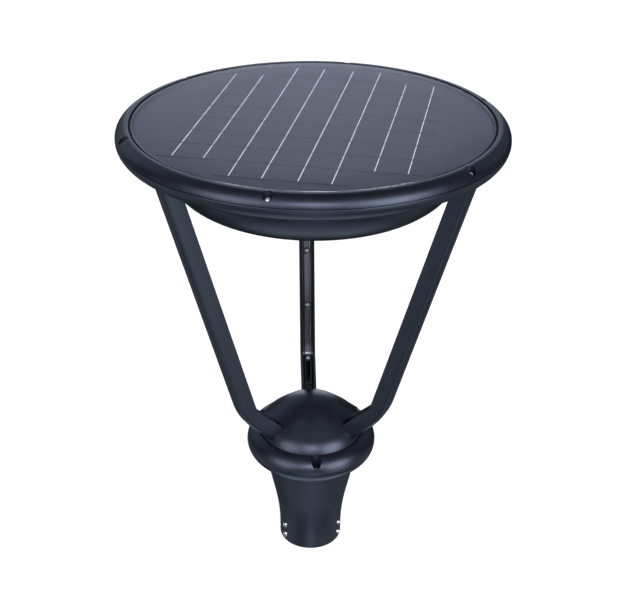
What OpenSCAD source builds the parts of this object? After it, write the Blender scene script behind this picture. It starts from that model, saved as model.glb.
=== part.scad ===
// Round solar post-top street lamp: a disc solar head on three channel arms,
// a domed hub and a flared socket that slips over a 76 mm pole top.
// Origin: centre of the socket's mouth. +Z up. Arms at 90, 210 and 330 degrees.

/* [Solar panel] */
// Radius of the glass disc
glass_r = 229.5; // [225:0.5:230]
// Thickness of the glass disc
glass_t = 4; // [3:0.5:5]
// Height of the glass surface above the socket mouth
glass_top = 668.3; // [660:0.1:680]
// Direction of the cell columns
cell_dir = 76.2; // [0:0.1:180]
// Pitch of the cell columns
col_pitch = 80.3; // [79:0.1:81]
// Pitch of the cells along a column
row_pitch = 45.4; // [44:0.1:46]
// Distance from a column's centre to each of its two ribbons
ribbon_off = 19.3; // [10:0.1:25]
// Width of a ribbon
ribbon_w = 1.1; // [0.8:0.1:2]
// Shift of the cell array toward the rear arm
cell_shift = 10; // [0:0.5:10]
// Radius to which the cells at the edge are trimmed
cell_trim = 225.4; // [220:0.1:226]

/* [Head] */
// Radius of the rolled rim's own circle
roll_r = 16.85; // [16:0.05:18]
// Radius from the lamp's axis to the centre of the roll
roll_c = 233.1; // [232:0.05:234]
// Height of the centre of the roll
roll_z = 652.4; // [650:0.1:656]
// Height of the split line between the bezel and the housing
split_z = 654.2; // [653:0.1:656]
// Radius of the circle of bezel screws
notch_r = 241.3; // [240.5:0.1:241.5]
// Angle of the first bezel screw
notch_a = 15; // [0:1:59]
// Diameter of each bezel screw pocket
notch_d = 13.2; // [12:0.1:13.4]
// Radius of the bowl at its widest
bowl_r = 194.4; // [190:0.1:200]
// Radius of the bowl's rounded lower wall
bowl_arc = 58.6; // [50:0.1:65]
// Height of the bowl's flat underside
bowl_z = 568.4; // [560:0.1:575]

/* [Arms] */
// Lean of the upper leg from the vertical
arm_lean = 15.6; // [10:0.1:20]
// Width of an arm across its side faces
arm_w = 22; // [20:0.5:26]
// Depth of an arm from its open side to its back
arm_d = 24.5; // [22:0.5:28]
// Rounding of the two outer corners of an arm
arm_round = 5.5; // [3:0.5:7]
// Width of the open channel in an arm
chan_w = 15.6; // [12:0.2:17]
// Radius of the back of the bend
bend_r = 113; // [100:1:130]
// Height step between two cover screws
cover_step = 79.7; // [70:0.1:90]

/* [Hub] */
// Radius of the collar ring's own circle
collar_r = 22.3; // [20:0.1:24]
// Radius from the axis to the centre of the collar ring
collar_c = 71.4; // [70:0.1:73]
// Height of the centre of the collar ring
collar_z = 175.5; // [170:0.1:180]
// Radius of the dome's cylindrical foot
dome_r = 77; // [75:0.1:78]
// Height of the dome's tip
dome_top = 245.3; // [240:0.1:250]
// Slope of the dome's flank
dome_slope = 39; // [35:0.5:42]
// Radius of the rounding at the dome's foot
shoulder_r = 35; // [20:1:40]
// Radius of the circle of collar screws
pocket_r = 85.3; // [84:0.1:86]
// Diameter of each collar screw pocket
pocket_d = 14; // [12:0.1:14.4]
// Turn of the socket and its screws against the arms
hub_turn = 2; // [-5:0.5:5]

/* [Pole socket] */
// Diameter of the bore that takes the pole top
bore_d = 77; // [76.4:0.1:78]
// Depth of the bore
bore_h = 110; // [90:1:120]
// Outside radius of the socket at its mouth
socket_r = 46.2; // [44:0.1:48]
// Radius of the socket's flare
flare_r = 330; // [300:5:360]
// Height of the lower row of set screws
set_z1 = 12; // [10:0.5:16]
// Height of the upper row of set screws
set_z2 = 30; // [26:0.5:40]

/* [Underside] */
// Radius of the clear opening in the bowl
window_r = 96; // [80:1:100]
// Radius of the circle on which the switch and vent sit
port_r = 124; // [122:0.5:126]
// Travel of the switch button
press = 2.2; // [1:0.1:3]

/* [Hidden] */
$fn = 96;
dark = [0.13, 0.15, 0.19];
steel = [0.72, 0.73, 0.75];
arm_az = [90, 210, 330];
bezel_in = glass_r + 2.9;
bezel_top = glass_top + 0.2;
cell_z = glass_top - glass_t - 1.1;
bend_i = bend_r - arm_d;
turn = 45 - arm_lean;
// inner corner of the bend, where both legs' open sides would meet
pc = [95.8, 259.8];
d1 = [sin(arm_lean), cos(arm_lean)];
n1 = [cos(arm_lean), -sin(arm_lean)];
d2 = [sin(45), cos(45)];
n2 = [cos(45), -sin(45)];
nb = [cos((45 + arm_lean) / 2), -sin((45 + arm_lean) / 2)];
lt = bend_i * tan(turn / 2);
t1 = pc + d1 * lt;
t2 = pc - d2 * lt;
cb = t1 - n1 * bend_i;
foot_x = 24;
foot = [foot_x, foot_x + pc[1] - pc[0]];
leg2 = norm(t2 - foot);
arm_top = 636.2;
notch_z = 657.5;
floor_v = arm_d - 3.5;
// cover screws: distance along the upper leg from the bend, then one on the lower leg
cover_h = [331.2, 331.2 + cover_step, 331.2 + 2 * cover_step, 331.2 + 3 * cover_step];
cover_low = 17.3;
dome_ball = 70;
dome_cz = dome_top - dome_ball;
cone_r0 = dome_ball * sin(dome_slope);
cone_z0 = dome_cz + dome_ball * cos(dome_slope);
flange_z = 166.9;
seat_z = 156;
chassis_a = [0, 50, 130, 180, 230, 310];
pocket_z = 180;
flare_a = 12;
flare_z0 = 15;
flare_z1 = flare_z0 + flare_r * sin(flare_a);
flare_r1 = socket_r + flare_r * (1 - cos(flare_a));

module at(a) { rotate([0, 0, a]) children(); }
module at_arms() { for (a = arm_az) at(a) children(); }
module at_pockets(r) { for (a = arm_az) at(a + 180 + hub_turn) translate([r, 0, 0]) children(); }
module ring(r1, r2, z1, z2) { translate([0, 0, z1]) difference() { cylinder(h = z2 - z1, r = r2); translate([0, 0, -1]) cylinder(h = z2 - z1 + 2, r = r1); } }
module disc(r, z1, z2) { translate([0, 0, z1]) cylinder(h = z2 - z1, r = r); }
module chip(r, z1, z2) { translate([0, 0, z1]) cylinder(h = z2 - z1, r = r, $fn = 48); }
module rev() { rotate_extrude() children(); }

// ---------- solar panel ----------
module cell_grid() {
  translate([0, cell_shift, 0]) rotate([0, 0, cell_dir]) for (c = [-1.5, -0.5, 0.5, 1.5]) {
    n = abs(c) > 1 ? 7 : 9;
    for (k = [0:n - 1]) translate([(k - (n - 1) / 2) * row_pitch, c * col_pitch, 0]) children();
  }
}
module solar_glass() color([0.2, 0.22, 0.27])
  rev() polygon([[0, glass_top - glass_t], [glass_r - 0.6, glass_top - glass_t], [glass_r, glass_top - glass_t + 0.6],
    [glass_r, glass_top - 0.8], [glass_r - 0.8, glass_top], [0, glass_top]]);
module solar_cells() color([0.04, 0.05, 0.08])
  intersection() {
    disc(cell_trim, cell_z - 1, cell_z + 1);
    cell_grid() translate([-22, -39, cell_z]) cube([44, 78, 0.5]);
  }
module cell_ribbons() color([0.85, 0.86, 0.88])
  cell_grid() for (s = [-1, 1]) translate([-21.4, s * ribbon_off - ribbon_w / 2, cell_z + 0.55]) cube([42.8, ribbon_w, 0.25]);
module cell_backsheet() color([0.03, 0.03, 0.04]) disc(glass_r - 3, cell_z - 1.1, cell_z - 0.1);
module panel_gasket() color([0.03, 0.03, 0.03])
  rev() difference() {
    translate([glass_r - 9, glass_top - glass_t - 4.2]) square([11.7, glass_t + 3.5]);
    translate([0, glass_top - glass_t - 2.4]) square([glass_r - 2.9, 20]);
    translate([0, glass_top - glass_t - 0.1]) square([glass_r + 0.1, 20]);
  }

// ---------- bezel and housing ----------
module roll2d() { translate([roll_c, roll_z]) circle(roll_r); }
module bezel_ring() color(dark) difference() {
  rev() {
    intersection() { roll2d(); translate([bezel_in, split_z + 0.4]) square([40, bezel_top - split_z - 0.4]); }
    translate([glass_r - 10, split_z + 0.4]) square([14, 4.9]);
  }
  for (k = [0:5]) at(notch_a + 60 * k) translate([notch_r, 0, 0]) {
    translate([0, 0, notch_z]) cylinder(h = 20, r = notch_d / 2);
    translate([0, 0, 640]) cylinder(h = 30, r = 2.3);
  }
}
module bezel_screws() color(steel) for (k = [0:5]) at(notch_a + 60 * k) translate([notch_r, 0, 0]) difference() {
  union() {
    chip(3.6, notch_z + 0.1, notch_z + 3);
    intersection() { chip(3.6, notch_z + 2, notch_z + 8); translate([0, 0, notch_z - 0.8]) sphere(r = 5.2); }
    chip(1.95, 644, notch_z + 1);
  }
  translate([0, 0, notch_z + 2.6]) cylinder(h = 4, r = 1.5, $fn = 6);
}
module rim_seal() color([0.04, 0.04, 0.04]) ring(222, 226, split_z - 0.35, split_z + 0.35);
module bowl2d(k) {
  translate([bowl_r - bowl_arc, bowl_z + bowl_arc]) intersection() { circle(bowl_arc - k); translate([0, -bowl_arc]) square([bowl_arc, bowl_arc]); }
}
module lamp_housing() color(dark) difference() {
  union() {
    rev() difference() {
      union() {
        intersection() { roll2d(); translate([roll_c - 12, 600]) square([40, split_z - 0.4 - 600]); }
        translate([bowl_r - 3.4, 637.4]) square([roll_c - bowl_r - 2, 3.6]);
        translate([218, 637.4]) square([14, split_z - 0.4 - 637.4]);
        bowl2d(0);
        translate([0, bowl_z]) square([bowl_r - bowl_arc, 4]);
        translate([bowl_r - 3.4, bowl_z + bowl_arc]) square([3.4, 13.7]);
      }
      bowl2d(3.5);
      translate([0, bowl_z + 4]) square([bowl_r - bowl_arc, bowl_arc]);
      translate([0, bowl_z + bowl_arc]) square([bowl_r - 3.5, 60]);
      translate([0, 641]) square([218, 60]);
    }
    at_arms() translate([198, -13, arm_top + 0.1]) cube([30, 26, 14]);
    for (a = chassis_a) at(a) translate([126, 0, bowl_z + 2]) cylinder(h = 587.9 - bowl_z - 2, r = 5);
  }
  // the hollow roll, with a screw boss left standing under each bezel screw
  difference() {
    rev() intersection() { translate([roll_c + 2, roll_z]) circle(12.2); translate([232, 620]) square([30, 60]); }
    for (k = [0:5]) at(notch_a + 60 * k) translate([notch_r, 0, 600]) cylinder(h = 100, r = 7.5);
  }
  for (k = [0:5]) at(notch_a + 60 * k) translate([notch_r, 0, 643]) cylinder(h = 30, r = 2);
  at_arms() for (x = [204, 214]) translate([x, 0, 620]) cylinder(h = 28, r = 2.55);
  for (a = chassis_a) at(a) translate([126, 0, 576]) cylinder(h = 20, r = 2.05);
  translate([0, 0, 560]) cylinder(h = 30, r = window_r);
  for (k = [0:5]) at(30 + 60 * k) translate([108, 0, 560]) cylinder(h = 30, r = 2.05);
  at(270) translate([port_r, 0, 560]) cylinder(h = 30, r = 6.1);
  at(150) translate([port_r, 0, 560]) cylinder(h = 30, r = 4.1);
}

// ---------- arms ----------
// v0 is where the side walls start; k insets every face by a hair, so that the bend runs inside the legs' own walls
module arm_section(v0 = 0, k = 0) difference() {
  union() {
    translate([v0, -arm_w / 2 + k]) square([arm_d - arm_round - v0, arm_w - 2 * k]);
    translate([v0, -arm_w / 2 + arm_round]) square([arm_d - k - v0, arm_w - 2 * arm_round]);
    for (s = [-1, 1]) translate([arm_d - arm_round, s * (arm_w / 2 - arm_round)]) circle(arm_round - k);
  }
  translate([-1, -chan_w / 2 - k]) square([floor_v + 1 + k, chan_w + 2 * k]);
}
module on_leg1() { translate([t1[0], 0, t1[1]]) rotate([0, arm_lean, 0]) children(); }
module on_leg2() { translate([foot[0], 0, foot[1]]) rotate([0, 45, 0]) children(); }
module on_bend() { translate([cb[0], 0, cb[1]]) rotate([90, 0, 0]) rotate([0, 0, -46]) rotate_extrude(angle = turn + 2) translate([bend_i, 0]) children(); }
module flat_xz(w) { rotate([90, 0, 0]) translate([0, 0, -w / 2]) linear_extrude(w) children(); }
module arm() color(dark) difference() {
  union() {
    on_leg1() linear_extrude(380) arm_section();
    on_bend() arm_section(3.2, 0.1);
    on_leg2() linear_extrude(leg2) arm_section();
    // side walls run on to the sharp inner corner of the bend
    for (s = [-1, 1]) translate([0, s * (arm_w + chan_w) / 4, 0]) flat_xz((arm_w - chan_w) / 2 - 0.3)
      polygon([t1 + 4 * d1 + 0.1 * n1, pc + 0.1 * nb, t2 - 4 * d2 + 0.1 * n2, t2 - 4 * d2 + 6 * n2, pc + 6 * nb, t1 + 4 * d1 + 6 * n1]);
    // closed head of the arm, under the housing
    intersection() {
      on_leg1() translate([0.5, -chan_w / 2 - 1, 300]) cube([floor_v + 1, chan_w + 2, 90]);
      translate([150, -20, arm_top - 8]) cube([120, 40, 20]);
    }
    for (h = cover_h) translate([pc[0] + (h - pc[1]) * tan(arm_lean), 0, h]) rotate([0, arm_lean, 0]) translate([6.9, 0, 0]) rotate([0, 90, 0]) cylinder(h = floor_v - 6.4, r = 4);
    translate([t2[0], 0, t2[1]]) rotate([0, 45, 0]) translate([6.9, 0, cover_low]) rotate([0, 90, 0]) cylinder(h = floor_v - 6.4, r = 4);
  }
  translate([0, -50, arm_top]) cube([400, 100, 60]);
  for (x = [204, 214]) translate([x, 0, 600]) cylinder(h = 60, r = 2.7);
  for (h = cover_h) translate([pc[0] + (h - pc[1]) * tan(arm_lean), 0, h]) rotate([0, arm_lean, 0]) rotate([0, 90, 0]) cylinder(h = 16, r = 1.6);
  translate([t2[0], 0, t2[1]]) rotate([0, 45, 0]) translate([0, 0, cover_low]) rotate([0, 90, 0]) cylinder(h = 16, r = 1.6);
  for (s = [6, 18]) on_leg2() translate([0, 0, s]) rotate([0, 90, 0]) cylinder(h = 40, r = 2.7);
}
module arm_rear() at(90) arm();
module arm_left() at(210) arm();
module arm_right() at(330) arm();

module cover_section() {
  translate([5.2, -7.5]) square([1.6, 15]);
  translate([3.6, -5.6]) square([1.7, 11.2]);
}
module cover_pocket() { rotate([0, 90, 0]) { translate([0, 0, -2]) cylinder(h = 7.2, r = 5.6); translate([0, 0, 0]) cylinder(h = 10, r = 1.7); } }
module arm_cover() color([0.09, 0.1, 0.12]) difference() {
  union() {
    on_leg1() translate([0, 0, -lt - 1.7]) linear_extrude(349 + lt) cover_section();
    on_leg2() translate([0, 0, leg2 - 23.5]) linear_extrude(23.5 + lt + 1.7) cover_section();
  }
  for (h = cover_h) translate([pc[0] + (h - pc[1]) * tan(arm_lean), 0, h]) rotate([0, arm_lean, 0]) cover_pocket();
  translate([t2[0], 0, t2[1]]) rotate([0, 45, 0]) translate([0, 0, cover_low]) cover_pocket();
}
module arm_cover_rear() at(90) arm_cover();
module arm_cover_left() at(210) arm_cover();
module arm_cover_right() at(330) arm_cover();
module cover_screw() rotate([0, 90, 0]) difference() {
  union() { translate([0, 0, 2.8]) cylinder(h = 2.3, r = 3.1, $fn = 48); translate([0, 0, 5]) cylinder(h = 9, r = 1.5, $fn = 32); }
  translate([0, 0, 2]) cylinder(h = 2, r = 1.2, $fn = 6);
}
module arm_cover_screws() color(steel) at_arms() {
  for (h = cover_h) translate([pc[0] + (h - pc[1]) * tan(arm_lean), 0, h]) rotate([0, arm_lean, 0]) cover_screw();
  translate([t2[0], 0, t2[1]]) rotate([0, 45, 0]) translate([0, 0, cover_low]) cover_screw();
}
module arm_head_bolts() color(steel) at_arms() for (x = [204, 214]) translate([x, 0, 0]) difference() {
  union() { chip(4.2, 622.8, 627.8); chip(2.45, 627, 646); }
  translate([0, 0, 620]) cylinder(h = 5.4, r = 2.3, $fn = 6);
}
module arm_foot_bolts() color(steel) at_arms() for (s = [6, 18]) on_leg2() translate([0, 0, s]) rotate([0, 90, 0]) difference() {
  union() { translate([0, 0, floor_v - 5.1]) cylinder(h = 5, r = 4.2, $fn = 48); translate([0, 0, floor_v - 1]) cylinder(h = 15, r = 2.45, $fn = 48); }
  translate([0, 0, floor_v - 6]) cylinder(h = 3.5, r = 2.3, $fn = 6);
}

// ---------- hub ----------
module dome2d(k) {
  // k is how far inside the outer face: 0 outside, wall thickness inside
  rc = dome_r - shoulder_r;
  zc = cone_z0 - (dome_r - cone_r0) * tan(dome_slope) - shoulder_r * tan((90 - dome_slope) / 2);
  base_z = flange_z + 0.3 - (k > 0 ? 1 : 0);
  translate([0, dome_cz]) intersection() { circle(dome_ball - k); square([cone_r0 - k * sin(dome_slope), dome_ball]); }
  polygon(concat([[0, base_z], [dome_r - k, base_z]],
    [for (i = [0:5]) let(a = (90 - dome_slope) * i / 5) [rc + (shoulder_r - k) * cos(a), zc + (shoulder_r - k) * sin(a)]],
    [[cone_r0 - k * sin(dome_slope), cone_z0 - k * cos(dome_slope)], [0, cone_z0 - k * cos(dome_slope)]]));
}
module hub_dome() color(dark) difference() {
  rev() difference() { dome2d(0); dome2d(3.2); }
  at_arms() on_leg2() translate([-0.6, -arm_w / 2 - 0.6, 25]) cube([arm_d + 1.2, arm_w + 1.2, 45]);
  at_arms() translate([60, 0, 173]) rotate([0, 90, 0]) cylinder(h = 30, r = 2.1);
}
module dome_screws() color(steel) at_arms() translate([0, 0, 173]) rotate([0, 90, 0]) difference() {
  union() { translate([0, 0, dome_r + 0.1]) cylinder(h = 2.6, r = 3.6, $fn = 48); translate([0, 0, 64]) cylinder(h = 14, r = 1.95, $fn = 48); }
  translate([0, 0, dome_r + 1.2]) cylinder(h = 3, r = 1.3, $fn = 6);
}
module collar2d() { translate([collar_c, collar_z]) circle(collar_r); }
module collar_part2d() intersection() { collar2d(); translate([dome_r + 0.3, flange_z + 0.3]) square([30, 60]); }
module hub_collar() color(dark) difference() {
  rev() collar_part2d();
  at_pockets(pocket_r) {
    translate([0, 0, pocket_z]) cylinder(h = 30, r = pocket_d / 2);
    translate([0, 0, 150]) cylinder(h = 50, r = 2.7);
  }
  at_arms() translate([dome_r - 1, 0, 173]) rotate([0, 90, 0]) cylinder(h = 6, r = 5);
}
module collar_screws() color([0.06, 0.06, 0.07]) at_pockets(pocket_r) difference() {
  union() {
    chip(4.6, pocket_z + 0.1, pocket_z + 3);
    intersection() { chip(4.6, pocket_z + 2, pocket_z + 8); translate([0, 0, pocket_z - 2.6]) sphere(r = 7.3); }
    chip(2.45, 160, pocket_z + 1);
  }
  translate([0, 0, pocket_z + 2.4]) cylinder(h = 4, r = 1.9, $fn = 6);
}
module hub_base() color(dark) difference() {
  union() {
    rev() difference() {
      union() {
        intersection() { collar2d(); translate([60, 100]) square([60, flange_z - 100]); }
        translate([50, seat_z + 0.1]) square([20, flange_z - seat_z - 0.1]);
      }
      square([flare_r1 + (153 - flare_z1) * tan(flare_a) + 0.16, seat_z + 0.1]);
    }
    at_arms() flat_xz(25) polygon([[51, flange_z - 5], [72.2, flange_z - 5], [72.2, 176], [62, 183], [58.5, 187.6], [41.5, 170.6], [41.5, 168]]);
  }
  at_pockets(pocket_r) translate([0, 0, 159.3]) cylinder(h = 20, r = 2.5);
  for (s = [6, 18]) at_arms() on_leg2() translate([arm_d - 2, 0, s]) rotate([0, 90, 0]) cylinder(h = 15, r = 2.5);
  at_arms() translate([62, 0, 173]) rotate([0, 90, 0]) cylinder(h = 30, r = 2);
  at_pockets(59) {
    translate([0, 0, 150]) cylinder(h = 20, r = 2.7);
    translate([0, 0, 161]) cylinder(h = 10, r = 4.6);
  }
}
module neck_bolts() color(steel) at_pockets(59) difference() {
  union() { chip(4.2, 161.1, 166.1); chip(2.45, 142, 162); }
  translate([0, 0, 163.5]) cylinder(h = 4, r = 2.3, $fn = 6);
}
module pole_socket() color(dark) difference() {
  rev() difference() {
    polygon([[0, 0], [socket_r, 0], [socket_r, flare_z0], [flare_r1, flare_z1], [flare_r1 + (153 - flare_z1) * tan(flare_a), 153], [flare_r1 + (153 - flare_z1) * tan(flare_a), seat_z], [0, seat_z]]);
    intersection() {
      translate([socket_r + flare_r, flare_z0]) circle(flare_r, $fn = 360);
      translate([socket_r - 5, flare_z0]) square([40, flare_z1 - flare_z0]);
    }
    translate([0, -1]) square([bore_d / 2, bore_h + 1]);
    polygon([[0, bore_h - 5], [20, bore_h - 5], [20, bore_h + 6], [46, bore_h + 6], [51, seat_z + 5], [0, seat_z + 5]]);
  }
  for (z = [set_z1, set_z2]) at(hub_turn) at_arms() translate([bore_d / 2 - 3, 0, z]) rotate([0, 90, 0]) cylinder(h = 20, r = 4.03);
  at_pockets(59) translate([0, 0, 140]) cylinder(h = 20, r = 2.5);
}
module set_screws() color(steel) for (z = [set_z1, set_z2]) at(hub_turn) at_arms() translate([0, 0, z]) rotate([0, 90, 0]) difference() {
  union() {
    translate([0, 0, bore_d / 2 + 0.5]) cylinder(h = 9.3, r = 4, $fn = 48);
    translate([0, 0, bore_d / 2 + 0.15]) cylinder(h = 1, r = 2.8, $fn = 48);
  }
  translate([0, 0, bore_d / 2 + 5]) cylinder(h = 8, r = 2.3, $fn = 6);
}

// ---------- light window ----------
module lens_window() color([0.85, 0.88, 0.9, 0.6]) rev() polygon([[0, 564.2], [96.8, 564.2], [96.8, 563.7], [103, 563.7], [103, 567], [0, 567]]);
module lens_gasket() color([0.05, 0.05, 0.05]) ring(97, 103, 567.1, 568.3);
module lens_ring() color(dark) difference() {
  rev() polygon([[97.5, 563.6], [97.5, 561.6], [98.4, 560.7], [110.4, 560.7], [112, 562.3], [112, 568.3], [103.3, 568.3], [103.3, 563.6]]);
  for (k = [0:5]) at(30 + 60 * k) translate([108, 0, 550]) cylinder(h = 30, r = 2.1);
}
module lens_ring_screws() color(steel) for (k = [0:5]) at(30 + 60 * k) translate([108, 0, 0]) difference() {
  union() { chip(3.6, 558.4, 560.6); chip(1.95, 560, 575); }
  translate([0, 0, 557.5]) cylinder(h = 2, r = 1.5, $fn = 6);
}

// ---------- inside the head ----------
module chassis_plate() color([0.7, 0.71, 0.73]) difference() {
  disc(160, 588, 590);
  for (a = chassis_a) at(a) translate([126, 0, 580]) cylinder(h = 20, r = 2.3);
  translate([0, -30, 580]) cylinder(h = 20, r = 5);
  at(150) translate([port_r, 0, 580]) cylinder(h = 20, r = 11);
  at(270) translate([port_r, 0, 580]) cylinder(h = 20, r = 12);
}
module chassis_screws() color(steel) for (a = chassis_a) at(a) translate([126, 0, 0]) difference() {
  union() { chip(3.6, 590.1, 592.6); chip(1.95, 578, 590.2); }
  translate([0, 0, 591.4]) cylinder(h = 3, r = 1.5, $fn = 6);
}
module led_board() color([0.9, 0.9, 0.88]) difference() { disc(86, 586.2, 587.8); translate([0, -30, 580]) cylinder(h = 20, r = 5); }
module led_chips() color([0.95, 0.85, 0.4]) for (q = [[20, 6], [45, 12], [70, 18]]) for (k = [0:q[1] - 1]) at(15 + 360 * k / q[1]) translate([q[0] - 1.75, -1.75, 584.6]) cube([3.5, 3.5, 1.5]);
module battery_cells() color([0.2, 0.35, 0.6]) for (i = [0:3], j = [0, 1]) translate([-50.4 + 33.6 * i, 8 + 68.5 * j, 609.2]) rotate([-90, 0, 0]) {
  cylinder(h = 66, r = 16);
  translate([0, 0, 65.5]) cylinder(h = 2, r = 5);
}
module battery_tray() color([0.1, 0.1, 0.11]) difference() {
  translate([-70, 5, 590.1]) cube([140, 142, 14]);
  translate([-67.8, 7.5, 592.9]) cube([135.6, 137, 20]);
}
module battery_straps() color([0.6, 0.62, 0.65]) for (y = [40, 110]) translate([0, y, 0]) difference() {
  translate([-72.2, -8, 592]) cube([144.4, 16, 35]);
  translate([-70.2, -9, 590]) cube([140.4, 18, 35.4]);
}
module controller_case() color([0.16, 0.17, 0.18]) difference() {
  translate([-52, -102, 590.1]) cube([104, 62, 28]);
  translate([-49.5, -99.5, 592.6]) cube([99, 57, 23]);
  translate([-20, -41.5, 598]) cube([40, 5, 12]);
  translate([47, -80, 598]) cube([10, 18, 12]);
}
module controller_board() color([0.05, 0.3, 0.15]) union() {
  translate([-47, -97, 596]) cube([94, 52, 1.6]);
  for (x = [-30, 0, 28]) translate([x, -88, 597.5]) cube([14, 12, 9]);
  translate([-18, -60, 597.5]) cube([36, 14, 10]);
}
module junction_box() color([0.06, 0.06, 0.07]) difference() {
  translate([-40, -108, 648]) cube([80, 46, 14]);
  translate([-37.5, -105.5, 650.5]) cube([75, 41, 20]);
  translate([-6, -64, 652]) cube([12, 5, 6]);
}
// a lead is a round tube swept along a few hand-set points
function unit(v) = v / norm(v);
function ring_pts(p, t, r, n) = let(u = unit(cross(t, abs(t[2]) > 0.9 ? [1, 0, 0] : [0, 0, 1])), w = cross(t, u)) [for (i = [0:n - 1]) p + r * (cos(360 * i / n) * u + sin(360 * i / n) * w)];
function bez(a, b, c, d, s) = pow(1 - s, 3) * a + 3 * pow(1 - s, 2) * s * b + 3 * (1 - s) * s * s * c + pow(s, 3) * d;
module lead(a, b, c, d, r) {
  m = 14;
  n = 8;
  pts = [for (k = [0:m]) bez(a, b, c, d, k / m)];
  tan_ = [for (k = [0:m]) unit(pts[min(k + 1, m)] - pts[max(k - 1, 0)])];
  polyhedron(points = [for (k = [0:m]) each ring_pts(pts[k], tan_[k], r, n)],
    faces = concat([[for (i = [0:n - 1]) i]], [[for (i = [n - 1:-1:0]) m * n + i]],
      [for (k = [0:m - 1], i = [0:n - 1]) [k * n + i, (k + 1) * n + i, (k + 1) * n + (i + 1) % n]],
      [for (k = [0:m - 1], i = [0:n - 1]) [k * n + i, (k + 1) * n + (i + 1) % n, k * n + (i + 1) % n]]));
}
module panel_lead() color([0.1, 0.1, 0.1]) lead([0, -61.8, 655], [0, -40, 655], [110, -71, 604], [48.5, -71, 604], 2);
module battery_lead() color([0.6, 0.1, 0.1]) lead([8, -39.5, 604], [8, -20, 604], [20, -10, 599], [20, 4.4, 599], 2);
module led_lead() color([0.8, 0.8, 0.8]) lead([-8, -39.5, 604], [-8, -25, 604], [0, -30, 600], [0, -30, 588.1], 2);

// ---------- vent and switch ----------
module vent_body() color([0.08, 0.08, 0.09]) at(150) translate([port_r, 0, 0]) difference() {
  union() { chip(8, 565, 568.3); chip(4, 568, 582); intersection() { chip(7.4, 561, 565.2); translate([0, 0, 572.8]) sphere(r = 11.4); } }
  translate([0, 0, 570]) cylinder(h = 20, r = 2);
}
module vent_nut() color([0.1, 0.1, 0.1]) at(150) translate([port_r, 0, 572.5]) difference() { cylinder(h = 4, r = 8, $fn = 6); translate([0, 0, -1]) cylinder(h = 6, r = 4.05); }
module button_body() color([0.62, 0.63, 0.65]) at(270) translate([port_r, 0, 0]) difference() {
  union() { rev() polygon([[0, 566], [8.4, 566], [9.2, 566.8], [9.2, 568.3], [6, 568.3], [6, 583], [0, 583]]); }
  translate([0, 0, 560]) cylinder(h = 14, r = 4.56);
  translate([0, 0, 573.3]) cylinder(h = 7.5, r = 5.2);
}
module button_nut() color(steel) at(270) translate([port_r, 0, 572.5]) difference() { cylinder(h = 4, r = 9.2, $fn = 6); translate([0, 0, -1]) cylinder(h = 6, r = 6.05); }
module button_cap() color([0.1, 0.1, 0.11]) at(270) translate([port_r, 0, 0])
  rev() polygon([[0, 563], [3.7, 563], [4.5, 563.8], [4.5, 573.45], [5, 573.45], [5, 575.4], [0, 575.4]]);

solar_glass();
solar_cells();
cell_ribbons();
cell_backsheet();
panel_gasket();
bezel_ring();
bezel_screws();
rim_seal();
lamp_housing();
arm_rear();
arm_left();
arm_right();
arm_cover_rear();
arm_cover_left();
arm_cover_right();
arm_cover_screws();
arm_head_bolts();
arm_foot_bolts();
hub_dome();
dome_screws();
hub_collar();
collar_screws();
hub_base();
neck_bolts();
pole_socket();
set_screws();
lens_window();
lens_gasket();
lens_ring();
lens_ring_screws();
chassis_plate();
chassis_screws();
led_board();
led_chips();
battery_cells();
battery_tray();
battery_straps();
controller_case();
controller_board();
junction_box();
panel_lead();
battery_lead();
led_lead();
vent_body();
vent_nut();
button_body();
button_nut();
button_cap();
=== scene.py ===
import bpy
import bmesh
import math
import numpy as np
from mathutils import Matrix, Vector


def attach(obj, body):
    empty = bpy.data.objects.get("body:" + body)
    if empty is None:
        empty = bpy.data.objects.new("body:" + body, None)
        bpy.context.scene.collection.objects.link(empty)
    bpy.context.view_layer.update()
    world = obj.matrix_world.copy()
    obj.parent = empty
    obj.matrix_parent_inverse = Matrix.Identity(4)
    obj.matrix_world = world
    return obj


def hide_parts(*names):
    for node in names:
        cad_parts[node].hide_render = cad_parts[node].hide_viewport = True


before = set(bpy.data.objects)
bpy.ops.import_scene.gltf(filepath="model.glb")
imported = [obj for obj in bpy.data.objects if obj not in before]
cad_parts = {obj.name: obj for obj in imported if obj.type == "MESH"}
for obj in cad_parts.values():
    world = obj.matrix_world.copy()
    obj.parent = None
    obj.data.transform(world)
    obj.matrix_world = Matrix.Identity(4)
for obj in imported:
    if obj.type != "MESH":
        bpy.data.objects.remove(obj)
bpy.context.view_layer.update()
MM = 0.001
BODY = "lamp"
rad = math.radians

# ------------------------------------------------------------------ design sizes, mm, as the CAD has them
GLASS_R, GLASS_T, GLASS_TOP = 229.5, 4.0, 668.3
CELL_DIR, COL_PITCH, ROW_PITCH, RIB_OFF, CELL_SHIFT, CELL_TRIM = 76.2, 80.3, 45.4, 19.3, 10.0, 225.4
ROLL_R, ROLL_C, ROLL_Z, SPLIT_Z = 16.85, 233.1, 652.4, 654.2
BEZEL_IN, BEZEL_TOP = 232.4, 668.5
NOTCH_R, NOTCH_A, NOTCH_Z = 241.3, 15, 657.5
BOWL_R, BOWL_ARC, BOWL_Z = 194.4, 58.6, 568.4
LEAN, ARM_W, ARM_D, ARM_ROUND, CHAN_W, BEND_R = 15.6, 22.0, 24.5, 5.5, 15.6, 113.0
ARM_TOP, FLOOR_V = 636.2, 21.0
ARM_AZ = (90, 210, 330)
COVER_H = [331.2 + 79.7 * k for k in range(4)]
COVER_LOW = 17.3
CELL_Z = GLASS_TOP - GLASS_T - 1.1
BEND_I = BEND_R - ARM_D
TURN = 45 - LEAN
PC = np.array([95.8, 259.8])
D1 = np.array([math.sin(rad(LEAN)), math.cos(rad(LEAN))])
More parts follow.
